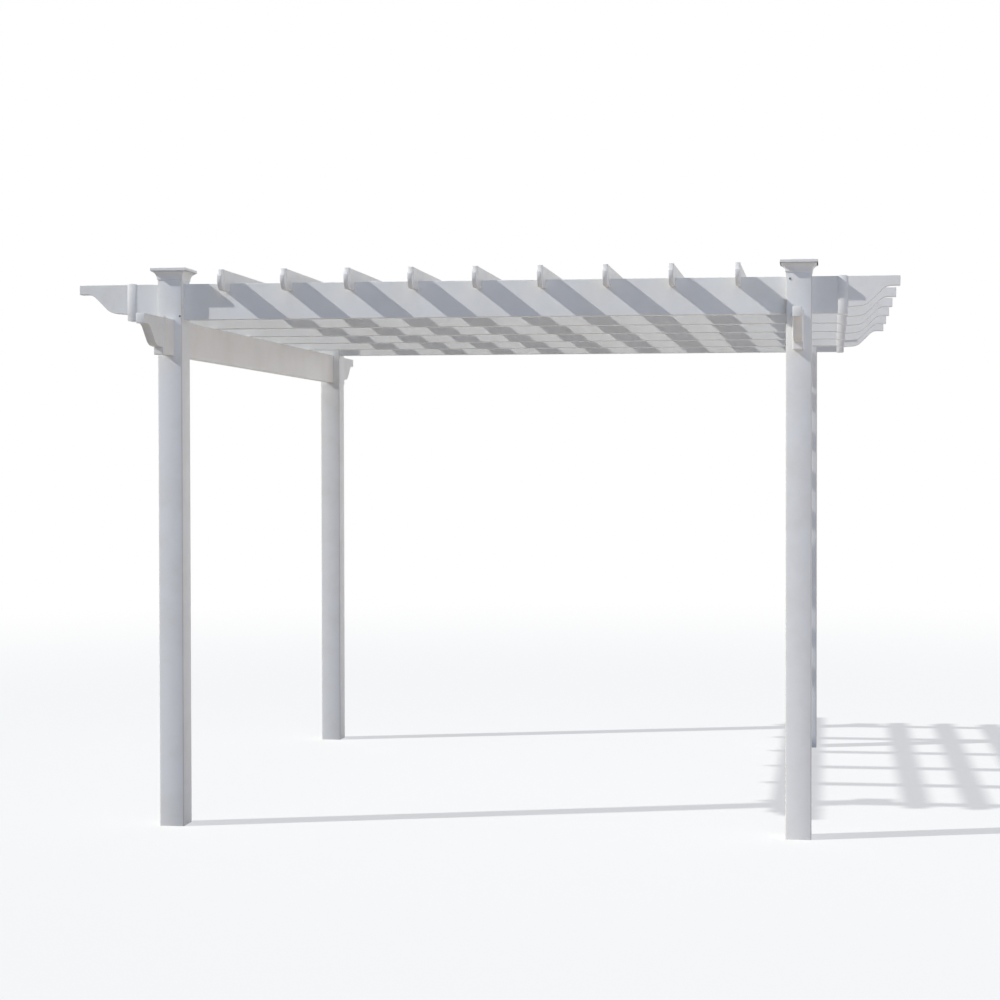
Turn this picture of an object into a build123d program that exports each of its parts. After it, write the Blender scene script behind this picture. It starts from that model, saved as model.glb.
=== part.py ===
from build123d import *
import math
import os

os.makedirs("parts", exist_ok=True)

# A white vinyl garden pergola. Four square posts carry two side beams and six rafters, which
# slide through holes routed in the posts, and nine notched purlins sit down over the rafters.
# X runs along the rafters, Y along the side beams and purlins, and Z is up.
# The origin is on the ground, at the centre of the four posts. The front is towards -Y.

# Layout
post_spacing_x = 3200
post_spacing_y = 3200
side_beam_underside = 2413
rafter_count = 6
rafter_overhang = 495  # from a post's centre to the rafter's tip
side_beam_overhang = 490  # from a post's centre to the side beam's tip
purlin_count = 9
purlin_spacing = 326
purlin_overhang = 150  # from the outer rafter's outer face to the purlin's tip

# Posts
post_side = 127
post_wall = 3.8
post_corner_radius = 5
post_above_rafter = 74  # from a rafter's top to the post's top

# Post caps: a skirt, a cove and a slab with a low hipped top
cap_lip = 4.2  # how far the slab reaches past the cove
cap_depth = 54  # how far the skirt reaches down the post
cap_wall = 3
cove_run = 22.5
cove_rise = 34
cove_step = 3
slab_thickness = 14
slab_top_wall = 4  # plastic over the post's end, at the slab's edge
slab_hip_rise = 6

# Side beams and rafters are cut from the same extrusion
beam_width = 44.5
beam_height = 184
beam_wall = 2.8
beam_chamfer = 2

# End caps of the side beams and rafters: a raised collar, then an ogee tail
collar_length = 48
collar_proud = 4.6
collar_bevel_length = 18
collar_edge_proud = 1.6  # what each bevel leaves at the collar's edge
tail_length = 257
tail_step = 32  # the tail's underside above the beam's underside
tail_shelf_length = 91
tail_shelf_rise = 6
tail_belly_radius = 80
tail_throat_radius = 60
tail_nose_length = 68
tail_nose_height = 49
end_cap_wall = 2.5

# Purlins
purlin_width = 22.2
purlin_height = 104
purlin_wall = 2.2
purlin_rise = 60  # how far a purlin stands above the rafters

# End caps of the purlins: a thin collar, then a nose with a hollow curve above and a full one below
purlin_collar_length = 14
purlin_collar_proud = 1.8
purlin_cap_length = 52
purlin_nose_drop = 34
purlin_nose_height = 27
purlin_top_run = 17  # of the upper curve, back from the nose
purlin_top_hollow = 3  # how far it hollows from a straight line
purlin_under_run = 30  # of the lower curve
purlin_under_swell = 4
purlin_cap_wall = 1.5

# Clearances
hole_clearance = 0.5  # each side, between a post's hole and the beam in it
notch_clearance = 0.5  # each side, between a purlin's notch and the rafter in it
slip_clearance = 0.3  # between a cap and what it slips over

# Sizes that follow from the ones above
rafter_underside = side_beam_underside + beam_height
rafter_top = rafter_underside + beam_height
rafter_spacing = post_spacing_y / (rafter_count - 1)
rafter_tip = post_spacing_x / 2 + rafter_overhang
side_beam_tip = post_spacing_y / 2 + side_beam_overhang
post_height = rafter_top + post_above_rafter
purlin_underside = rafter_top + purlin_rise - purlin_height
purlin_tip = post_spacing_y / 2 + beam_width / 2 + purlin_overhang
skirt_half = post_side / 2 + slip_clearance + cap_wall
cove_radius = (cove_run**2 + cove_rise**2) / (2 * cove_run)  # of an arc that leaves the skirt straight up
cap_half = skirt_half + cove_run + cap_lip

up = Vector(0, 0, 1)
left = Vector(-1, 0, 0)
right = Vector(1, 0, 0)
front = Vector(0, -1, 0)
back = Vector(0, 1, 0)
on_base = (Align.CENTER, Align.MIN)


# Planes. In a side plane, sketch X points outward and sketch Y up. In an end plane, which faces
# outward, sketch X runs across and sketch Y points up.
def side_plane(origin, outward):
    return Plane(origin=origin, x_dir=outward, z_dir=outward.cross(up))


def end_plane(origin, outward):
    return Plane(origin=origin, x_dir=up.cross(outward), z_dir=outward)


def save(builder, name):
    builder.part.label = name
    export_step(builder.part, f"parts/{name}.step")


# Posts: hollow square extrusions, with a hole right through for each member they carry
def make_post(name, x, y):
    with BuildPart() as post:
        with BuildSketch(Plane((x, y, 0))):
            RectangleRounded(post_side, post_side, post_corner_radius)
            Rectangle(post_side - 2 * post_wall, post_side - 2 * post_wall, mode=Mode.SUBTRACT)
        extrude(amount=post_height)
        for underside, direction in ((side_beam_underside, front), (rafter_underside, right)):
            with BuildSketch(end_plane((x, y, underside), direction)):
                Rectangle(beam_width + 2 * hole_clearance, beam_height + hole_clearance, align=on_base)
            extrude(amount=post_side, both=True, mode=Mode.SUBTRACT)
    save(post, name)


# Post caps: two crossed extrusions of one moulding outline meet in mitred corners
def cap_outline():
    slab_under = slab_top_wall - slab_thickness
    cove_top = slab_under - cove_step
    cove_edge = skirt_half + cove_run
    with BuildSketch() as outline:
        with BuildLine():
            skirt = Polyline((0, -cap_depth), (skirt_half, -cap_depth), (skirt_half, cove_top - cove_rise))
            TangentArc(skirt @ 1, (cove_edge, cove_top), tangent=(0, 1))
            Polyline(
                (cove_edge, cove_top),
                (cove_edge, slab_under),
                (cap_half, slab_under),
                (cap_half, slab_top_wall),
                (0, slab_top_wall + slab_hip_rise),
            )
            mirror(about=Plane.YZ)
        make_face()
    return outline.sketch


def cap_hollow_outline():
    socket_half = post_side / 2 + slip_clearance
    cove_top = slab_top_wall - slab_thickness - cove_step
    hollow_half = skirt_half + cove_radius - math.sqrt((cove_radius + cap_wall) ** 2 - cove_rise**2)
    with BuildSketch() as outline:
        with BuildLine():
            socket = Polyline((0, -cap_depth), (socket_half, -cap_depth), (socket_half, cove_top - cove_rise))
            TangentArc(socket @ 1, (hollow_half, cove_top), tangent=(0, 1))
            Polyline((hollow_half, cove_top), (hollow_half, 0), (0, 0))
            mirror(about=Plane.YZ)
        make_face()
    return outline.sketch


def make_post_cap(name, x, y):
    post_top = (x, y, post_height)
    with BuildPart() as hollow:
        with BuildSketch(end_plane(post_top, front)):
            add(cap_hollow_outline())
        extrude(amount=2 * cap_half, both=True)
        with BuildSketch(end_plane(post_top, right)):
            add(cap_hollow_outline())
        extrude(amount=2 * cap_half, both=True, mode=Mode.INTERSECT)
    with BuildPart() as cap:
        with BuildSketch(end_plane(post_top, front)):
            add(cap_outline())
        extrude(amount=2 * cap_half, both=True)
        with BuildSketch(end_plane(post_top, right)):
            add(cap_outline())
        extrude(amount=2 * cap_half, both=True, mode=Mode.INTERSECT)
        add(hollow.part, mode=Mode.SUBTRACT)
    save(cap, name)


# Side beams and rafters: hollow extrusions that stop against the shoulder inside their end caps
def make_beam(name, centre, direction, tip):
    with BuildPart() as beam:
        with BuildSketch(end_plane(centre, direction)):
            blank = Rectangle(beam_width, beam_height, align=on_base)
            chamfer(blank.vertices(), beam_chamfer)
            with Locations((0, beam_wall)):
                Rectangle(
                    beam_width - 2 * beam_wall,
                    beam_height - 2 * beam_wall,
                    align=on_base,
                    mode=Mode.SUBTRACT,
                )
        extrude(amount=tip - tail_length - end_cap_wall, both=True)
    save(beam, name)


# The tail in side view: a nearly level shelf, an ogee up to a slim nose, and a straight top
def tail_outline(start):
    shelf_end = collar_length + tail_shelf_length
    nose_start = collar_length + tail_length - tail_nose_length
    nose_under = beam_height - tail_nose_height
    with BuildSketch() as outline:
        with BuildLine():
            Polyline(
                (start, tail_step),
                (shelf_end, tail_step + tail_shelf_rise),
                (nose_start, nose_under),
                (collar_length + tail_length, nose_under),
                (collar_length + tail_length, beam_height),
                (start, beam_height),
                close=True,
            )
        make_face()
        fillet(outline.vertices().sort_by_distance((shelf_end, tail_step))[0], tail_belly_radius)
        fillet(outline.vertices().sort_by_distance((nose_start, nose_under))[0], tail_throat_radius)
    return outline.sketch


def make_end_cap(name, tip, outward):
    inner_edge = tip - outward * (collar_length + tail_length)
    profile = side_plane(inner_edge, outward)
    section = end_plane(inner_edge, outward)
    shoulder = collar_length - end_cap_wall
    collar_stations = (
        (0, collar_edge_proud),
        (collar_bevel_length, collar_proud),
        (collar_length - collar_bevel_length, collar_proud),
        (collar_length, collar_edge_proud),
    )
    with BuildPart() as cap:
        for pair in zip(collar_stations, collar_stations[1:]):
            for along, proud in pair:
                with BuildSketch(section.offset(along)):
                    with Locations((0, beam_height / 2)):
                        Rectangle(beam_width + 2 * proud, beam_height + 2 * proud)
            loft()
        with BuildSketch(profile):
            add(tail_outline(shoulder))
        extrude(amount=beam_width / 2, both=True)
        with BuildSketch(profile):
            add(tail_outline(shoulder - end_cap_wall))
            offset(amount=-end_cap_wall, kind=Kind.INTERSECTION, mode=Mode.REPLACE)
        extrude(amount=beam_width / 2 - end_cap_wall, both=True, mode=Mode.SUBTRACT)
        with BuildSketch(section):
            with Locations((0, beam_height / 2)):
                Rectangle(beam_width + 2 * slip_clearance, beam_height + 2 * slip_clearance)
        extrude(amount=shoulder, mode=Mode.SUBTRACT)
    save(cap, name)


# Purlins: hollow extrusions with a notch down over every rafter
def rafter_y(index):
    return (index - (rafter_count - 1) / 2) * rafter_spacing


def purlin_x(index):
    return (index - (purlin_count - 1) / 2) * purlin_spacing


def make_purlin(name, x):
    with BuildPart() as purlin:
        with BuildSketch(end_plane((x, 0, purlin_underside), back)):
            Rectangle(purlin_width, purlin_height, align=on_base)
            with Locations((0, purlin_wall)):
                Rectangle(
                    purlin_width - 2 * purlin_wall,
                    purlin_height - 2 * purlin_wall,
                    align=on_base,
                    mode=Mode.SUBTRACT,
                )
        extrude(amount=purlin_tip - purlin_cap_length + purlin_collar_length - purlin_cap_wall, both=True)
        with BuildSketch(side_plane((x, 0, purlin_underside), back)):
            with Locations([(rafter_y(index), 0) for index in range(rafter_count)]):
                Rectangle(beam_width + 2 * notch_clearance, purlin_height - purlin_rise, align=on_base)
        extrude(amount=purlin_width, both=True, mode=Mode.SUBTRACT)
    save(purlin, name)


# The purlin's end cap in side view: a blunt nose, with the corners cut back above and below it
def purlin_cap_outline(start):
    top = (purlin_cap_length - purlin_top_run, purlin_height)
    foot = (purlin_cap_length - purlin_under_run, 0)
    nose_top = (purlin_cap_length, purlin_height - purlin_nose_drop)
    nose_under = (purlin_cap_length, purlin_height - purlin_nose_drop - purlin_nose_height)
    with BuildSketch() as outline:
        with BuildLine():
            Polyline(top, (start, purlin_height), (start, 0), foot)
            SagittaArc(foot, nose_under, -purlin_under_swell)
            Line(nose_under, nose_top)
            SagittaArc(nose_top, top, purlin_top_hollow)
        make_face()
    return outline.sketch


def one_purlin_cap(x, outward):
    inner_edge = Vector(x, 0, purlin_underside) + outward * (purlin_tip - purlin_cap_length)
    profile = side_plane(inner_edge, outward)
    section = end_plane(inner_edge, outward)
    shoulder = purlin_collar_length - purlin_cap_wall
    with BuildPart() as cap:
        with BuildSketch(section):
            with Locations((0, purlin_height / 2)):
                Rectangle(
                    purlin_width + 2 * purlin_collar_proud,
                    purlin_height + 2 * purlin_collar_proud,
                )
        extrude(amount=purlin_collar_length)
        with BuildSketch(profile):
            add(purlin_cap_outline(shoulder))
        extrude(amount=purlin_width / 2, both=True)
        with BuildSketch(profile):
            add(purlin_cap_outline(shoulder - purlin_cap_wall))
            offset(amount=-purlin_cap_wall, kind=Kind.INTERSECTION, mode=Mode.REPLACE)
        extrude(amount=purlin_width / 2 - purlin_cap_wall, both=True, mode=Mode.SUBTRACT)
        with BuildSketch(section):
            with Locations((0, purlin_height / 2)):
                Rectangle(purlin_width + 2 * slip_clearance, purlin_height + 2 * slip_clearance)
        extrude(amount=shoulder, mode=Mode.SUBTRACT)
    return cap.part


def make_purlin_caps(name, outward):
    with BuildPart() as caps:
        for index in range(purlin_count):
            add(one_purlin_cap(purlin_x(index), outward))
    save(caps, name)


half_x = post_spacing_x / 2
half_y = post_spacing_y / 2

for row, y in (("front", -half_y), ("back", half_y)):
    for side, x in (("left", -half_x), ("right", half_x)):
        make_post(f"post_{row}_{side}", x, y)
        make_post_cap(f"post_cap_{row}_{side}", x, y)

for side, x in (("left", -half_x), ("right", half_x)):
    make_beam(f"side_beam_{side}", Vector(x, 0, side_beam_underside), front, side_beam_tip)
    for row, outward in (("front", front), ("back", back)):
        tip = Vector(x, 0, side_beam_underside) + outward * side_beam_tip
        make_end_cap(f"side_beam_end_cap_{row}_{side}", tip, outward)

for index in range(rafter_count):
    number = index + 1
    middle = Vector(0, rafter_y(index), rafter_underside)
    make_beam(f"rafter_{number}", middle, right, rafter_tip)
    for side, outward in (("left", left), ("right", right)):
        make_end_cap(f"rafter_end_cap_{number}_{side}", middle + outward * rafter_tip, outward)

for index in range(purlin_count):
    make_purlin(f"purlin_{index + 1}", purlin_x(index))
make_purlin_caps("purlin_end_caps_front", front)
make_purlin_caps("purlin_end_caps_back", back)
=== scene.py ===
import math

import bmesh
import bpy
from mathutils import Matrix, Vector


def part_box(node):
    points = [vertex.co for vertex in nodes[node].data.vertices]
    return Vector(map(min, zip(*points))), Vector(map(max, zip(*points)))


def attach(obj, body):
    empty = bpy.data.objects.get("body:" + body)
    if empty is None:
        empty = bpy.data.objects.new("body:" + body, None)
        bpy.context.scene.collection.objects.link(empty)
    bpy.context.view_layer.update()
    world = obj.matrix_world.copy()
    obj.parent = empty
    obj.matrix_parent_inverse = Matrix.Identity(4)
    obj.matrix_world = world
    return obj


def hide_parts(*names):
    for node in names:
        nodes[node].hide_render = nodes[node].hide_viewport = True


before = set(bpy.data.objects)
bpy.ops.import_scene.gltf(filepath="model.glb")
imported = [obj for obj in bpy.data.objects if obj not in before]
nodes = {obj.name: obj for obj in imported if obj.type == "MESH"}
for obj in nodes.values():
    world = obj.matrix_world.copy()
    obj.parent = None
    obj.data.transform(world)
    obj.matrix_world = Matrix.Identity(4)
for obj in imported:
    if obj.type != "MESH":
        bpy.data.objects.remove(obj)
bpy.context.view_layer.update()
print("loaded", len(nodes), "CAD nodes")

# The camera stands in front of the right-hand half and looks a little to the left.
# Its shift is what the photograph's crop needs.
camera = {
    "place": (1.763, -11.290, 1.837),
    "turn": (89.054, 0.046, 6.946),  # degrees about X, Y and Z
    "lens": 70.04,
    "shift": -0.095,
}

lights = {
    "sunFrom": (-0.763, -0.231, 0.603),  # from the left, grazing the front faces
    "sunStrength": 3.65,
    "sunWidth": 0.7,  # degrees across
    "sunColour": "#FFFEFA",
    # The soft light round the part is dim on the sun's side and overhead. Each range is of
    # the direction's X or Z, and the light changes over it.
    "softRange": (-0.7, 0.3),
    "overheadRange": (0.0, 0.8),
    "farRightRange": (0.4, 1.0),
    "softLeft": 0.12,
    "softRight": 1.55,
    "softFarRight": 0.62,  # of that, for what comes straight from the right
    "softOverhead": 0.14,  # of what comes level
    "softColour": "#BCD6FF",
    "softRightColour": "#FFF5EA",
}

floorLook = {
    "half": 60.0,
    "seen": "#F6F6F5",
    # The warm ground that lights the undersides is darker on the left
    "bounceRange": (-2.5, 2.5),  # metres across
    "bounceLeft": "#857C71",
    "bounceRight": "#D2C7BC",
    "whiteFrom": 5.0,  # metres from the middle, where it starts to fade into the background
    "whiteTo": 16.0,
    "shadowShare": 0.45,
}


def toLinear(hexColour):
    channels = [int(hexColour[i : i + 2], 16) / 255 for i in (1, 3, 5)]
    linear = [c / 12.92 if c <= 0.04045 else ((c + 0.055) / 1.055) ** 2.4 for c in channels]
    return (*linear, 1.0)


def addNode(tree, kind, settings=None, inputs=None):
    node = tree.nodes.new(kind)
    for name, value in (settings or {}).items():
        setattr(node, name, value)
    for name, value in (inputs or {}).items():
        if isinstance(value, bpy.types.NodeSocket):
            tree.links.new(value, node.inputs[name])
        else:
            node.inputs[name].default_value = value
    return node


def emptyMaterial(name):
    material = bpy.data.materials.new(name)
    material.use_nodes = True
    material.node_tree.nodes.clear()
    return material, material.node_tree


# Camera, lights and floor
scene = bpy.context.scene
scene.view_settings.view_transform = "Standard"


def makeCamera():
    data = bpy.data.cameras.new("photoCamera")
    data.lens = camera["lens"]
    data.shift_x = camera["shift"]
    data.clip_end = 200.0
    item = bpy.data.objects.new("photoCamera", data)
    item.location = camera["place"]
    item.rotation_euler = [math.radians(a) for a in camera["turn"]]
    scene.collection.objects.link(item)
    scene.camera = item


def makeLights():
    sun = bpy.data.lights.new("sun", "SUN")
    sun.energy = lights["sunStrength"]
    sun.angle = math.radians(lights["sunWidth"])
    sun.color = toLinear(lights["sunColour"])[:3]
    sunItem = bpy.data.objects.new("sun", sun)
    sunItem.rotation_euler = Vector(lights["sunFrom"]).to_track_quat("Z", "Y").to_euler()
    scene.collection.objects.link(sunItem)
    world = bpy.data.worlds.new("sky")
    scene.world = world
    world.use_nodes = True
    tree = world.node_tree
    tree.nodes.clear()
    away = addNode(tree, "ShaderNodeTexCoord").outputs["Generated"]
    parts = addNode(tree, "ShaderNodeSeparateXYZ", inputs={0: away})
    sideways = addNode(
        tree,
        "ShaderNodeMapRange",
        {"interpolation_type": "SMOOTHSTEP"},
        {
            "Value": parts.outputs["X"],
            "From Min": lights["softRange"][0],
            "From Max": lights["softRange"][1],
            "To Min": lights["softLeft"],
            "To Max": lights["softRight"],
        },
    )
    overhead = addNode(
        tree,
        "ShaderNodeMapRange",
        inputs={
            "Value": parts.outputs["Z"],
            "From Min": lights["overheadRange"][0],
            "From Max": lights["overheadRange"][1],
            "To Min": 1.0,
            "To Max": lights["softOverhead"],
        },
    )
    strength = addNode(
        tree,
        "ShaderNodeMath",
        {"operation": "MULTIPLY"},
        {0: sideways.outputs[0], 1: overhead.outputs[0]},
    )
    rightness = addNode(
        tree,
        "ShaderNodeMapRange",
        {"interpolation_type": "SMOOTHSTEP"},
        {
            "Value": parts.outputs["X"],
            "From Min": lights["farRightRange"][0],
            "From Max": lights["farRightRange"][1],
        },
    )
    sideShare = addNode(
        tree,
        "ShaderNodeMapRange",
        inputs={"Value": rightness.outputs[0], "To Min": 1.0, "To Max": lights["softFarRight"]},
    )
    strength = addNode(
        tree,
        "ShaderNodeMath",
        {"operation": "MULTIPLY"},
        {0: strength.outputs[0], 1: sideShare.outputs[0]},
    )
    warmth = addNode(
        tree,
        "ShaderNodeMix",
        {"data_type": "RGBA"},
        {
            "Factor": rightness.outputs[0],
            6: toLinear(lights["softColour"]),
            7: toLinear(lights["softRightColour"]),
        },
    )
    light = addNode(
        tree,
        "ShaderNodeBackground",
        inputs={"Color": warmth.outputs[2], "Strength": strength.outputs[0]},
    )
    white = addNode(tree, "ShaderNodeBackground", inputs={"Color": (1, 1, 1, 1), "Strength": 1.0})
    mix = addNode(
        tree,
        "ShaderNodeMixShader",
        inputs={0: seenRays(tree), 1: light.outputs[0], 2: white.outputs[0]},
    )
    addNode(tree, "ShaderNodeOutputWorld", inputs={"Surface": mix.outputs[0]})


# 1 for what is looked at straight, mirrored or through glass, and 0 for light that spreads
def seenRays(tree):
    path = addNode(tree, "ShaderNodeLightPath")
    mirrored = addNode(
        tree,
        "ShaderNodeMath",
        {"operation": "MAXIMUM"},
        {0: path.outputs["Is Glossy Ray"], 1: path.outputs["Is Transmission Ray"]},
    )
    seen = addNode(
        tree,
        "ShaderNodeMath",
        {"operation": "MAXIMUM"},
        {0: path.outputs["Is Camera Ray"], 1: mirrored.outputs[0]},
    )
    return seen.outputs[0]


def makeFloor():
    bm = bmesh.new()
    bmesh.ops.create_grid(bm, x_segments=1, y_segments=1, size=floorLook["half"])
    mesh = bpy.data.meshes.new("floor")
    bm.to_mesh(mesh)
    bm.free()
    floor = bpy.data.objects.new("floor", mesh)
    scene.collection.objects.link(floor)

    material, tree = emptyMaterial("palePaintedFloor")
    place = addNode(tree, "ShaderNodeTexCoord")
    reach = addNode(
        tree, "ShaderNodeVectorMath", {"operation": "LENGTH"}, {0: place.outputs["Object"]}
    )
    fade = addNode(
        tree,
        "ShaderNodeMapRange",
        {"interpolation_type": "SMOOTHSTEP"},
        {
            "Value": reach.outputs["Value"],
            "From Min": floorLook["whiteFrom"],
            "From Max": floorLook["whiteTo"],
            "To Min": 1.0 - floorLook["shadowShare"],
            "To Max": 1.0,
        },
    )
    seen = seenRays(tree)
    across = addNode(tree, "ShaderNodeSeparateXYZ", inputs={0: place.outputs["Object"]})
    rightness = addNode(
        tree,
        "ShaderNodeMapRange",
        {"interpolation_type": "SMOOTHSTEP"},
        {
            "Value": across.outputs["X"],
            "From Min": floorLook["bounceRange"][0],
            "From Max": floorLook["bounceRange"][1],
        },
    )
    bounce = addNode(
        tree,
        "ShaderNodeMix",
        {"data_type": "RGBA"},
        {
            "Factor": rightness.outputs[0],
            6: toLinear(floorLook["bounceLeft"]),
            7: toLinear(floorLook["bounceRight"]),
        },
    )
    colour = addNode(
        tree,
        "ShaderNodeMix",
        {"data_type": "RGBA"},
        {"Factor": seen, 6: bounce.outputs[2], 7: toLinear(floorLook["seen"])},
    )
    paint = addNode(tree, "ShaderNodeBsdfDiffuse", inputs={"Color": colour.outputs[2]})
    glow = addNode(tree, "ShaderNodeEmission", inputs={"Color": (1, 1, 1, 1), "Strength": 1.0})
    share = addNode(
        tree, "ShaderNodeMath", {"operation": "MULTIPLY"}, {0: seen, 1: fade.outputs["Result"]}
    )
    mix = addNode(
        tree,
        "ShaderNodeMixShader",
        inputs={0: share.outputs[0], 1: paint.outputs[0], 2: glow.outputs[0]},
    )
    addNode(tree, "ShaderNodeOutputMaterial", inputs={"Surface": mix.outputs[0]})
    mesh.materials.append(material)


makeCamera()
makeLights()
makeFloor()
print("camera, lights and floor made")


# Finishes
millimetre = 0.001

# White PVC, extruded through a die and cooled: semi-gloss, with faint lines along the length,
# slow waves in the flat walls, a slightly crowned face, and a thin uneven film of dust. The
# crown is drawn in the shading alone.
# On the posts, a line of painted shade darkens each vertical corner.
postVinyl = {
    "colour": "#E9EAEB",
    "dustAndShade": "#D3D0C8",
    "roughness": 0.38,
    "along": (1, 1, 0.015),  # draws the die lines out along the length
    "dieLine": 6.0,  # mm from one die line to the next; the real ones are finer than a pixel
    "dieDepth": 0.04,
    "wave": 320.0,  # mm from one slow wave of the wall to the next
    "waveDepth": 1.2,
    "dustPatch": 160.0,
    "crown": 5.0,  # mm that a face swells by in its middle
    "crownCentre": (1.6, 1.6, 0.0),  # metres from the part's middle to a post's
    "crownHalf": 0.0635,
    "cornerLine": 0.0045,  # metres of painted shade at each corner: a darker line along the post's edge
}
rafterVinyl = {
    **postVinyl,
    "colour": "#E8E9E9",
    "along": (0.015, 1, 1),
    "dustPatch": 220.0,
    "crown": 0.0,
    "cornerLine": 0.0,
}
sideBeamVinyl = {**rafterVinyl, "colour": "#EFEDEB", "along": (1, 0.015, 1)}
purlinVinyl = {
    **sideBeamVinyl,
    "colour": "#E6E6E5",
    "dustPatch": 110.0,
    "wave": 180.0,
    "waveDepth": 0.4,
}

# White PVC, injection moulded: satin, with a fine even grain from the mould
mouldedVinyl = {
    "colour": "#EBEBEA",
    "dustAndShade": "#D6D3CB",
    "roughness": 0.42,
    "grain": 2.5,  # mm; finer on the real part
    "grainDepth": 0.02,
    "dustPatch": 55.0,
}

# Zinc-plated steel: grey, dulled by weather
screwZinc = {
    "colour": "#8B8E90",
    "stain": "#5F6163",
    "roughness": 0.45,
    "speck": 1.5,
}


dustFilm = {
    "range": (0.45, 0.8),  # of the noise, from clean to the most film
    "most": 0.35,
    "settleRange": (0.3, 1.0),  # of how far a face looks up
    "settled": 0.5,
}
vinylIor = 1.53


def vinylBase(tree, look, place, bump, roughness, paintedCornerShade=None):
    patches = addNode(
        tree,
        "ShaderNodeTexNoise",
        inputs={
            "Vector": place,
            "Scale": 1.0 / (look["dustPatch"] * millimetre),
            "Detail": 6.0,
            "Roughness": 0.62,
        },
    )
    film = addNode(
        tree,
        "ShaderNodeMapRange",
        inputs={
            "Value": patches.outputs[0],
            "From Min": dustFilm["range"][0],
            "From Max": dustFilm["range"][1],
            "To Max": dustFilm["most"],
        },
    )
    # More dust settles where a face looks up
    facing = addNode(tree, "ShaderNodeNewGeometry").outputs["Normal"]
    upward = addNode(tree, "ShaderNodeSeparateXYZ", inputs={0: facing}).outputs["Z"]
    settled = addNode(
        tree,
        "ShaderNodeMapRange",
        inputs={
            "Value": upward,
            "From Min": dustFilm["settleRange"][0],
            "From Max": dustFilm["settleRange"][1],
            "To Max": dustFilm["settled"],
        },
    )
    dustAndShade = addNode(
        tree,
        "ShaderNodeMath",
        {"operation": "ADD", "use_clamp": True},
        {0: film.outputs[0], 1: settled.outputs[0]},
    )
    # Painted shade from the caller, the darker line along each corner of a post, joins the dust
    # film in the mix
    if paintedCornerShade:
        dustAndShade = addNode(
            tree,
            "ShaderNodeMath",
            {"operation": "ADD", "use_clamp": True},
            {0: dustAndShade.outputs[0], 1: paintedCornerShade},
        )
    # Mixes toward the dust colour by the dust film and, on the posts, by the painted corner shade
    colour = addNode(
        tree,
        "ShaderNodeMix",
        {"data_type": "RGBA"},
        {"Factor": dustAndShade.outputs[0], 6: toLinear(look["colour"]), 7: toLinear(look["dustAndShade"])},
    )
    shader = addNode(
        tree,
        "ShaderNodeBsdfPrincipled",
        inputs={
            "Base Color": colour.outputs[2],
            "Roughness": roughness,
            "IOR": vinylIor,
            "Normal": bump,
        },
    )
    addNode(tree, "ShaderNodeOutputMaterial", inputs={"Surface": shader.outputs[0]})


def extrudedVinyl(name, look):
    material, tree = emptyMaterial(name)
    place = addNode(tree, "ShaderNodeTexCoord").outputs["Object"]
    along = addNode(tree, "ShaderNodeMapping", inputs={"Vector": place, "Scale": look["along"]})
    lines = addNode(
        tree,
        "ShaderNodeTexNoise",
        inputs={
            "Vector": along.outputs[0],
            "Scale": 1.0 / (look["dieLine"] * millimetre),
            "Detail": 3.0,
        },
    )
    waves = addNode(
        tree,
        "ShaderNodeTexNoise",
        inputs={"Vector": place, "Scale": 1.0 / (look["wave"] * millimetre), "Detail": 1.0},
    )
    linesBump = addNode(
        tree,
        "ShaderNodeBump",
        inputs={"Height": lines.outputs[0], "Distance": look["dieDepth"] * millimetre},
    )
    bump = addNode(
        tree,
        "ShaderNodeBump",
        inputs={
            "Height": waves.outputs[0],
            "Distance": look["waveDepth"] * millimetre,
            "Normal": linesBump.outputs[0],
        },
    )
    roughness = addNode(
        tree,
        "ShaderNodeMapRange",
        inputs={
            "Value": lines.outputs[0],
            "From Min": 0.3,
            "From Max": 0.7,
            "To Min": look["roughness"] - 0.05,
            "To Max": look["roughness"] + 0.1,
        },
    )
    corner = None
    if look["crown"]:
        # The place on a post's face, measured from that post's own middle
        side = addNode(tree, "ShaderNodeVectorMath", {"operation": "SIGN"}, {0: place})
        middle = addNode(
            tree,
            "ShaderNodeVectorMath",
            {"operation": "MULTIPLY"},
            {0: side.outputs[0], 1: look["crownCentre"]},
        )
        onPost = addNode(
            tree,
            "ShaderNodeVectorMath",
            {"operation": "SUBTRACT"},
            {0: place, 1: middle.outputs[0]},
        )
        flat = addNode(
            tree,
            "ShaderNodeVectorMath",
            {"operation": "MULTIPLY"},
            {0: onPost.outputs[0], 1: (1, 1, 0)},
        )
        square = addNode(
            tree,
            "ShaderNodeVectorMath",
            {"operation": "DOT_PRODUCT"},
            {0: flat.outputs[0], 1: flat.outputs[0]},
        )
        bump = addNode(
            tree,
            "ShaderNodeBump",
            {"invert": True},
            {
                "Height": square.outputs["Value"],
                "Distance": look["crown"] * millimetre / look["crownHalf"] ** 2,
                "Normal": bump.outputs[0],
            },
        )
        away = addNode(
            tree, "ShaderNodeVectorMath", {"operation": "ABSOLUTE"}, {0: flat.outputs[0]}
        )
        parts = addNode(tree, "ShaderNodeSeparateXYZ", inputs={0: away.outputs[0]})
        nearer = addNode(
            tree,
            "ShaderNodeMath",
            {"operation": "MINIMUM"},
            {0: parts.outputs["X"], 1: parts.outputs["Y"]},
        )
        # Painted shade: a darker line along each vertical corner of a post, where the rounded
        # corner turns from the light, up to 0.8 of the way to the dust colour
        corner = addNode(
            tree,
            "ShaderNodeMapRange",
            inputs={
                "Value": nearer.outputs[0],
                "From Min": look["crownHalf"] - look["cornerLine"],
                "From Max": look["crownHalf"] - 0.5 * look["cornerLine"],
                "To Max": 0.8,
            },
        ).outputs[0]
    vinylBase(tree, look, place, bump.outputs[0], roughness.outputs[0], corner)
    return material


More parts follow.
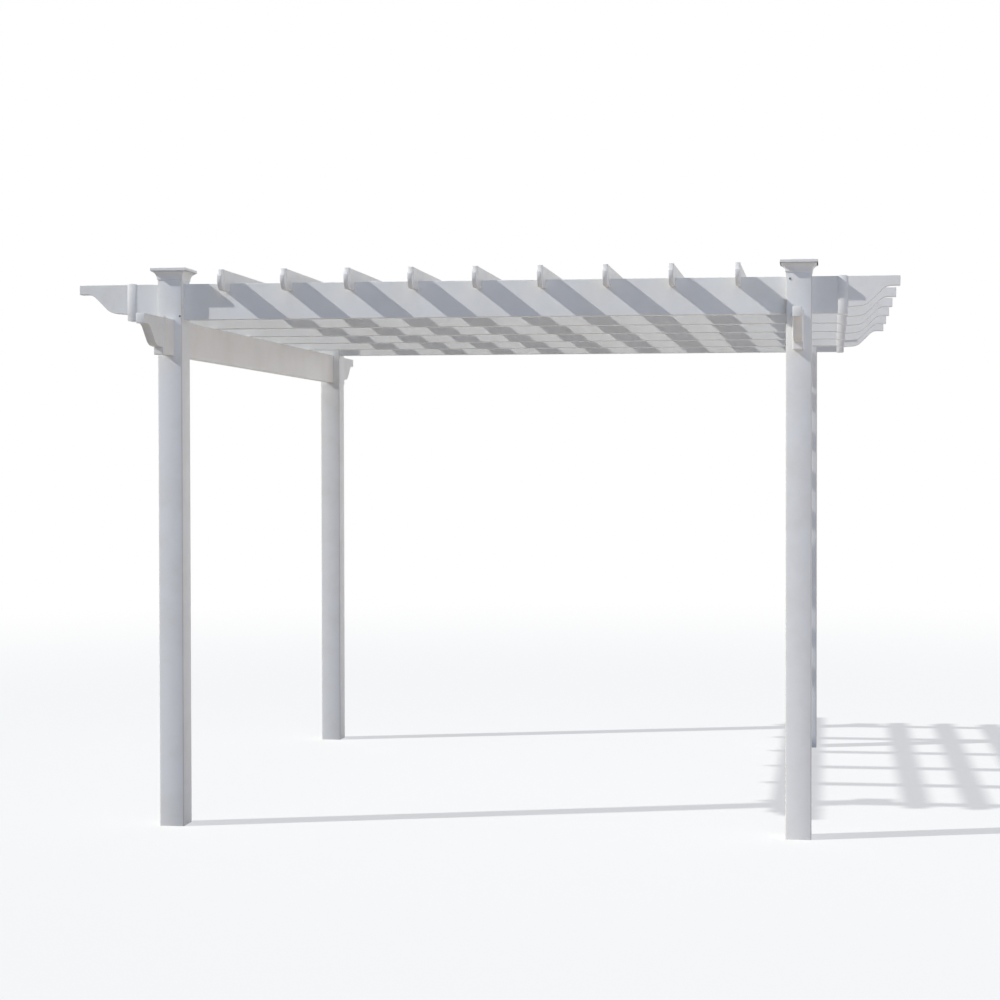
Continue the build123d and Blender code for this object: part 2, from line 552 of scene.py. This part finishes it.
def satinVinyl(name, look):
    material, tree = emptyMaterial(name)
    place = addNode(tree, "ShaderNodeTexCoord").outputs["Object"]
    grain = addNode(
        tree,
        "ShaderNodeTexNoise",
        inputs={"Vector": place, "Scale": 1.0 / (look["grain"] * millimetre)},
    )
    bump = addNode(
        tree,
        "ShaderNodeBump",
        inputs={"Height": grain.outputs[0], "Distance": look["grainDepth"] * millimetre},
    )
    roughness = addNode(
        tree,
        "ShaderNodeMapRange",
        inputs={
            "Value": grain.outputs[0],
            "From Min": 0.3,
            "From Max": 0.7,
            "To Min": look["roughness"] - 0.04,
            "To Max": look["roughness"] + 0.06,
        },
    )
    vinylBase(tree, look, place, bump.outputs[0], roughness.outputs[0])
    return material


def weatheredZinc(name, look):
    material, tree = emptyMaterial(name)
    place = addNode(tree, "ShaderNodeTexCoord").outputs["Object"]
    specks = addNode(
        tree,
        "ShaderNodeTexNoise",
        inputs={"Vector": place, "Scale": 1.0 / (look["speck"] * millimetre), "Detail": 4.0},
    )
    colour = addNode(
        tree,
        "ShaderNodeMix",
        {"data_type": "RGBA"},
        {"Factor": specks.outputs[0], 6: toLinear(look["colour"]), 7: toLinear(look["stain"])},
    )
    shader = addNode(
        tree,
        "ShaderNodeBsdfPrincipled",
        inputs={"Base Color": colour.outputs[2], "Metallic": 1.0, "Roughness": look["roughness"]},
    )
    addNode(tree, "ShaderNodeOutputMaterial", inputs={"Surface": shader.outputs[0]})
    return material


mouldedFinish = satinVinyl("mouldedSatinVinyl", mouldedVinyl)
zincFinish = weatheredZinc("weatheredZinc", screwZinc)
extrusions = {
    "post_": extrudedVinyl("extrudedPostVinyl", postVinyl),
    "side_beam_": extrudedVinyl("extrudedSideBeamVinyl", sideBeamVinyl),
    "rafter_": extrudedVinyl("extrudedRafterVinyl", rafterVinyl),
    "purlin_": extrudedVinyl("extrudedPurlinVinyl", purlinVinyl),
}
for name, item in nodes.items():
    finish = next(material for prefix, material in extrusions.items() if name.startswith(prefix))
    for materialSlot in item.material_slots:
        materialSlot.material = mouldedFinish if "_cap" in name else finish
print("finishes given to every node")


# Moulded pieces. Each is shaped once at the origin and set in place by its own matrix.
smoothUpTo = math.radians(38)


def drawOut(bm, face, move, growth=(1, 1, 1)):
    made = bmesh.ops.extrude_face_region(bm, geom=[face])["geom"]
    end = next(part for part in made if isinstance(part, bmesh.types.BMFace))
    bmesh.ops.translate(bm, vec=move, verts=end.verts)
    middle = end.calc_center_median()
    bmesh.ops.scale(bm, vec=growth, space=Matrix.Translation(-middle), verts=end.verts)
    return end


def roundEdges(bm, edges, radius, segments):
    bmesh.ops.bevel(
        bm,
        geom=edges,
        offset=radius,
        segments=segments,
        profile=0.5,
        affect="EDGES",
        material=-1,
        clamp_overlap=True,
    )


# The largest of the faces that lie lowest along an axis: the one that a socket is sunk into
def largestFaceAt(bm, axis):
    return min(
        bm.faces,
        key=lambda face: (round(getattr(face.calc_center_median(), axis), 5), -face.calc_area()),
    )


def sharpEdges(bm, faces=None):
    return [
        edge
        for edge in bm.edges
        if len(edge.link_faces) == 2
        and edge.calc_face_angle(0) > smoothUpTo
        and (faces is None or any(face in faces for face in edge.link_faces))
    ]


def finishPiece(bm, name, matrix, finish):
    mesh = bpy.data.meshes.new(name)
    bm.to_mesh(mesh)
    mesh.transform(matrix)
    mesh.materials.append(finish)
    mesh.update()
    piece = bpy.data.objects.new(name, mesh)
    scene.collection.objects.link(piece)
    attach(piece, "root")
    return piece


def shadeSmoothly(bm, flatArea):
    for face in bm.faces:
        face.smooth = face.calc_area() < flatArea
    for edge in bm.edges:
        edge.smooth = edge.calc_face_angle(0) < smoothUpTo


# End caps of the side beams and rafters: a swelling collar, then the ogee tail
endCap = {
    "beamWidth": 0.0445,
    "beamHeight": 0.184,
    "collarLength": 0.048,
    "collarCrest": 0.0046,  # how proud of the beam the collar stands at its middle
    "collarEdge": 0.0012,
    "collarSteps": 10,
    "collarRound": 0.0006,
    "slip": 0.0003,
    "wall": 0.0025,
    "tailLength": 0.257,
    "step": 0.032,
    "shelfLength": 0.091,
    "shelfRise": 0.006,
    "bellyRadius": 0.080,
    "throatRadius": 0.060,
    "noseLength": 0.068,
    "noseHeight": 0.049,
    "edgeRadius": 0.0024,
    "curveSegments": 14,
    "flatArea": 0.004,  # square metres from which a face is shaded flat
}


# Y runs outwards along the beam, and Z up from the beam's underside
def shapeEndCap():
    cap = endCap
    bm = bmesh.new()
    width, height = cap["beamWidth"], cap["beamHeight"]
    steps, rise = cap["collarSteps"], cap["collarCrest"] - cap["collarEdge"]
    places = [index / steps for index in range(steps + 1)]
    proud = [cap["collarCrest"] - rise * (2 * place - 1) ** 2 for place in places]
    made = bmesh.ops.create_grid(bm, x_segments=1, y_segments=1, size=0.5)
    bmesh.ops.rotate(bm, matrix=Matrix.Rotation(math.radians(90), 3, "X"), verts=made["verts"])
    size = Vector((width + 2 * proud[0], 1, height + 2 * proud[0]))
    bmesh.ops.scale(bm, vec=size, verts=made["verts"])
    bmesh.ops.translate(bm, vec=(0, 0, height / 2), verts=made["verts"])
    end = bm.faces[:][0]
    for low, high in zip(proud, proud[1:]):
        wider = (width + 2 * high) / (width + 2 * low)
        taller = (height + 2 * high) / (height + 2 * low)
        grown = Vector((wider, 1, taller))
        end = drawOut(bm, end, (0, cap["collarLength"] / steps, 0), grown)
    bmesh.ops.recalc_face_normals(bm, faces=bm.faces)
    roundEdges(bm, sharpEdges(bm), cap["collarRound"], 2)

    # the socket that slips over the beam
    rim = proud[0] - cap["slip"] - cap["collarRound"]
    bmesh.ops.inset_region(bm, faces=[largestFaceAt(bm, "y")], thickness=rim)
    drawOut(bm, largestFaceAt(bm, "y"), (0, cap["collarLength"] - cap["wall"], 0))

    # the tail, from its outline in side view
    collarEnd = cap["collarLength"]
    shelfEnd = (collarEnd + cap["shelfLength"], cap["step"] + cap["shelfRise"])
    noseStart = (collarEnd + cap["tailLength"] - cap["noseLength"], height - cap["noseHeight"])
    tip = collarEnd + cap["tailLength"]
    root = collarEnd - cap["wall"]
    outline = (
        (root, cap["step"]),
        shelfEnd,
        noseStart,
        (tip, noseStart[1]),
        (tip, height),
        (root, height),
    )
    corners = [bm.verts.new((-width / 2, y, z)) for y, z in outline]
    bm.faces.new(corners)
    for corner, radius in ((corners[1], cap["bellyRadius"]), (corners[2], cap["throatRadius"])):
        a, b = (edge.other_vert(corner).co - corner.co for edge in corner.link_edges)
        turn = math.pi - a.angle(b)
        bmesh.ops.bevel(
            bm,
            geom=[corner],
            offset=radius * math.tan(turn / 2),
            segments=cap["curveSegments"],
            profile=0.5,
            affect="VERTICES",
            material=-1,
        )
    side = next(face for face in bm.faces if len(face.verts) > 2 * cap["curveSegments"])
    far = drawOut(bm, side, (width, 0, 0))
    tailFaces = {face for vert in far.verts for face in vert.link_faces}
    bmesh.ops.recalc_face_normals(bm, faces=list(bm.faces))
    edges = [e for e in sharpEdges(bm, tailFaces) if max(v.co.y for v in e.verts) > collarEnd]
    roundEdges(bm, edges, cap["edgeRadius"], 3)
    bmesh.ops.recalc_face_normals(bm, faces=list(bm.faces))
    shadeSmoothly(bm, cap["flatArea"])
    return bm


def standAt(place, degrees):
    return Matrix.Translation(place) @ Matrix.Rotation(math.radians(degrees), 4, "Z")


def makeEndCaps():
    bm = shapeEndCap()
    reach = endCap["collarLength"] + endCap["tailLength"]
    # For each way that a tail points: its turn, its axis, and the sign along that axis
    ways = {"back": (0, 1, 1), "left": (90, 0, -1), "front": (180, 1, -1), "right": (270, 0, 1)}
    for name in nodes:
        if "_end_cap_" not in name:
            continue
        low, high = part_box(name)
        turn, axis, sign = next(ways[word] for word in name.split("_") if word in ways)
        place = (Vector(low) + Vector(high)) / 2
        tipAt = high[axis] if sign > 0 else low[axis]
        place[axis] = tipAt - sign * reach
        place.z = low[2] + endCap["collarCrest"]
        pieceName = name.replace("rafter_end_cap", "rafterTail")
        pieceName = pieceName.replace("side_beam_end_cap", "sideBeamTail")
        piece = finishPiece(bm, pieceName, standAt(place, turn), mouldedFinish)
        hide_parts(name)
    bm.free()


# Post caps: a skirt, a cove and a slab with a low hipped top
postCap = {
    "skirtHalf": 0.0668,
    "socketHalf": 0.0638,
    "depth": 0.054,
    "coveRun": 0.0225,
    "coveRise": 0.034,
    "coveStep": 0.003,
    "coveSteps": 8,
    "slabHalf": 0.0935,
    "slabThickness": 0.014,
    "topWall": 0.004,
    "hipRise": 0.006,
    "edgeRadius": 0.0016,
    "flatArea": 0.0016,
}


# Z = 0 is the post's top
def shapePostCap():
    cap = postCap
    bm = bmesh.new()
    radius = (cap["coveRun"] ** 2 + cap["coveRise"] ** 2) / (2 * cap["coveRun"])
    slabUnder = cap["topWall"] - cap["slabThickness"]
    coveTop = slabUnder - cap["coveStep"]
    coveFoot = coveTop - cap["coveRise"]
    sweep = math.asin(cap["coveRise"] / radius)
    stations = [(cap["skirtHalf"], -cap["depth"])]
    for step in range(cap["coveSteps"] + 1):
        angle = sweep * step / cap["coveSteps"]
        stations.append(
            (cap["skirtHalf"] + radius * (1 - math.cos(angle)), coveFoot + radius * math.sin(angle))
        )
    stations.append((stations[-1][0], slabUnder))
    stations.append((cap["slabHalf"], slabUnder))
    stations.append((cap["slabHalf"], cap["topWall"]))

    bmesh.ops.create_grid(bm, x_segments=1, y_segments=1, size=stations[0][0])
    bmesh.ops.translate(bm, vec=(0, 0, stations[0][1]), verts=bm.verts)
    end = bm.faces[:][0]
    for (half, z), (nextHalf, nextZ) in zip(stations, stations[1:]):
        end = drawOut(bm, end, (0, 0, nextZ - z), (nextHalf / half, nextHalf / half, 1))
    apex = bmesh.ops.poke(bm, faces=[end])["verts"]
    bmesh.ops.translate(bm, vec=(0, 0, cap["hipRise"]), verts=apex)
    bmesh.ops.recalc_face_normals(bm, faces=list(bm.faces))
    roundEdges(bm, sharpEdges(bm), cap["edgeRadius"], 3)
    foot = largestFaceAt(bm, "z")
    rim = foot.verts[0].co
    bmesh.ops.inset_region(
        bm, faces=[foot], thickness=max(abs(rim.x), abs(rim.y)) - cap["socketHalf"]
    )
    drawOut(bm, largestFaceAt(bm, "z"), (0, 0, cap["depth"]))
    bmesh.ops.recalc_face_normals(bm, faces=list(bm.faces))
    shadeSmoothly(bm, cap["flatArea"])
    return bm


def makePostCaps():
    bm = shapePostCap()
    for name in nodes:
        if not name.startswith("post_cap_"):
            continue
        low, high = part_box(name)
        top = high[2] - postCap["topWall"] - postCap["hipRise"]
        place = Vector(((low[0] + high[0]) / 2, (low[1] + high[1]) / 2, top))
        pieceName = name.replace("post_cap", "hippedPostCap")
        piece = finishPiece(bm, pieceName, standAt(place, 0), mouldedFinish)
        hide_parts(name)
    bm.free()


# End caps of the purlins: a thin collar, then a nose, hollow above and full below
noseCap = {
    "width": 0.0222,
    "height": 0.104,
    "collarLength": 0.014,
    "collarProud": 0.0018,
    "length": 0.052,
    "drop": 0.034,
    "noseHeight": 0.027,
    "topRun": 0.017,
    "topHollow": 0.003,
    "underRun": 0.030,
    "underSwell": 0.004,
    "slip": 0.0003,
    "wall": 0.0015,
    "edgeRadius": 0.0012,
    "collarRound": 0.00072,
    "flatArea": 0.0006,
}


# Lets a vertex sweep an arc to another place, with the bow that it has at its middle
def sweepArc(bm, vert, target, bow):
    chord = Vector(target) - vert.co
    radius = (chord.length_squared / 4 + bow**2) / (2 * abs(bow))
    across = chord.normalized().cross(Vector((1, 0, 0))) * math.copysign(1, bow)
    centre = vert.co + chord / 2 - across * (radius - abs(bow))
    angle = 2 * math.asin(chord.length / 2 / radius) * math.copysign(1, bow)
    made = bmesh.ops.spin(
        bm, geom=[vert], cent=centre, axis=(1, 0, 0), dvec=(0, 0, 0), angle=angle, steps=6
    )
    return next(part for part in made["geom_last"] if isinstance(part, bmesh.types.BMVert))


def shapeNoseCap():
    cap = noseCap
    width, height, root = cap["width"], cap["height"], cap["collarLength"] - cap["wall"]
    bm = bmesh.new()
    x = -width / 2
    foot = bm.verts.new((x, cap["length"] - cap["underRun"], 0))
    noseUnder = (x, cap["length"], height - cap["drop"] - cap["noseHeight"])
    swept = sweepArc(bm, foot, noseUnder, cap["underSwell"])
    noseTop = bm.verts.new((x, cap["length"], height - cap["drop"]))
    bm.edges.new((swept, noseTop))
    top = sweepArc(bm, noseTop, (x, cap["length"] - cap["topRun"], height), -cap["topHollow"])
    rootTop = bm.verts.new((x, root, height))
    rootFoot = bm.verts.new((x, root, 0))
    for pair in ((top, rootTop), (rootTop, rootFoot), (rootFoot, foot)):
        bm.edges.new(pair)
    side = bmesh.ops.contextual_create(bm, geom=list(bm.edges))["faces"][0]
    drawOut(bm, side, (width, 0, 0))
    bmesh.ops.recalc_face_normals(bm, faces=list(bm.faces))
    edges = [e for e in sharpEdges(bm) if max(v.co.y for v in e.verts) > cap["collarLength"]]
    roundEdges(bm, edges, cap["edgeRadius"], 2)

    made = bmesh.ops.create_cube(bm, size=1.0)["verts"]
    proud = cap["collarProud"]
    size = Vector((width + 2 * proud, cap["collarLength"], height + 2 * proud))
    bmesh.ops.scale(bm, vec=size, verts=made)
    bmesh.ops.translate(bm, vec=(0, cap["collarLength"] / 2, height / 2), verts=made)
    collar = {face for vert in made for face in vert.link_faces}
    roundEdges(bm, sharpEdges(bm, collar), cap["collarRound"], 2)
    rim = proud - cap["slip"] - cap["collarRound"]
    bmesh.ops.inset_region(bm, faces=[largestFaceAt(bm, "y")], thickness=rim)
    drawOut(bm, largestFaceAt(bm, "y"), (0, root, 0))
    bmesh.ops.recalc_face_normals(bm, faces=list(bm.faces))
    shadeSmoothly(bm, cap["flatArea"])
    return bm


def makeNoseCaps():
    shape = shapeNoseCap()
    template = bpy.data.meshes.new("noseCap")
    shape.to_mesh(template)
    shape.free()
    for way, turn in (("front", 180), ("back", 0)):
        sign = 1 if way == "back" else -1
        low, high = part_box("purlin_end_caps_" + way)
        tipAt = high[1] if way == "back" else low[1]
        underside = low[2] + noseCap["collarProud"]
        bm = bmesh.new()
        for index in range(1, 10):
            purlinLow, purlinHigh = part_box(f"purlin_{index}")
            middle = (purlinLow[0] + purlinHigh[0]) / 2
            place = Vector((middle, tipAt - sign * noseCap["length"], underside))
            copy = template.copy()
            copy.transform(standAt(place, turn))
            bm.from_mesh(copy)
            bpy.data.meshes.remove(copy)
        piece = finishPiece(bm, "purlinNoses_" + way, Matrix.Identity(4), mouldedFinish)
        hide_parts("purlin_end_caps_" + way)
        bm.free()
    bpy.data.meshes.remove(template)


makeEndCaps()
makePostCaps()
makeNoseCaps()
print("moulded caps shaped and set in place")


# Screws that hold the beams in the posts: a pan head with a cross recess
screw = {
    "radius": 0.0055,
    "rise": 0.0024,
    "recess": 0.0014,
    "heights": {"front_left": 2.614, "front_right": 2.767, "back_left": 2.767, "back_right": 2.614},
    "fromEdge": {
        "front_left": 0.010,
        "front_right": 0.020,
        "back_left": 0.020,
        "back_right": 0.010,
    },
    "cells": 7,  # squares along each side of the grid that the recess is sunk into
    "gridShare": 0.7,  # of the radius
    "topShare": 0.78,
    "rimSteps": ((0.16, 0.2), (0.06, 0.3), (0.0, 0.5)),  # outwards and down, as shares
}


def shapeScrew():
    bm = bmesh.new()
    cells, half = screw["cells"], screw["radius"] * screw["gridShare"]
    bmesh.ops.create_grid(bm, x_segments=cells, y_segments=cells, size=half)
    cell = 2 * half / cells
    cross = [
        face
        for face in bm.faces
        if min(abs(face.calc_center_median().x), abs(face.calc_center_median().y)) < cell * 0.4
        and face.calc_center_median().length < cell * 2.4
    ]
    sunk = bmesh.ops.extrude_face_region(bm, geom=cross)["geom"]
    bmesh.ops.delete(bm, geom=cross, context="FACES_ONLY")
    sunkVerts = [part for part in sunk if isinstance(part, bmesh.types.BMVert)]
    bmesh.ops.translate(bm, vec=(0, 0, -screw["recess"]), verts=sunkVerts)
    rim = [edge for edge in bm.edges if edge.is_boundary]
    for vert in {vert for edge in rim for vert in edge.verts}:
        vert.co = vert.co.normalized() * screw["radius"] * screw["topShare"]
    for reach, drop in screw["rimSteps"]:
        made = bmesh.ops.extrude_edge_only(bm, edges=rim)["geom"]
        verts = [part for part in made if isinstance(part, bmesh.types.BMVert)]
        rim = [part for part in made if isinstance(part, bmesh.types.BMEdge)]
        for vert in verts:
            flat = Vector((vert.co.x, vert.co.y, 0))
            vert.co += flat.normalized() * screw["radius"] * reach
            vert.co.z -= screw["rise"] * drop
    bmesh.ops.edgeloop_fill(bm, edges=rim)
    bmesh.ops.recalc_face_normals(bm, faces=list(bm.faces))
    shadeSmoothly(bm, 1.0)
    return bm


def makeScrews():
    bm = shapeScrew()
    for corner, z in screw["heights"].items():
        low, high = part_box("post_" + corner)
        inward = 1 if "left" in corner else -1
        edge = screw["fromEdge"][corner]
        x = (high[0] if inward > 0 else low[0]) - inward * edge
        faceY = low[1] if "front" in corner else high[1]
        tilt = 90 if "front" in corner else -90
        stand = Matrix.Translation((x, faceY, z)) @ Matrix.Rotation(math.radians(tilt), 4, "X")
        stand = stand @ Matrix.Translation((0, 0, screw["rise"]))
        finishPiece(bm, "beamScrew_" + corner, stand, zincFinish)
    bm.free()


makeScrews()
print("screws set in the posts")
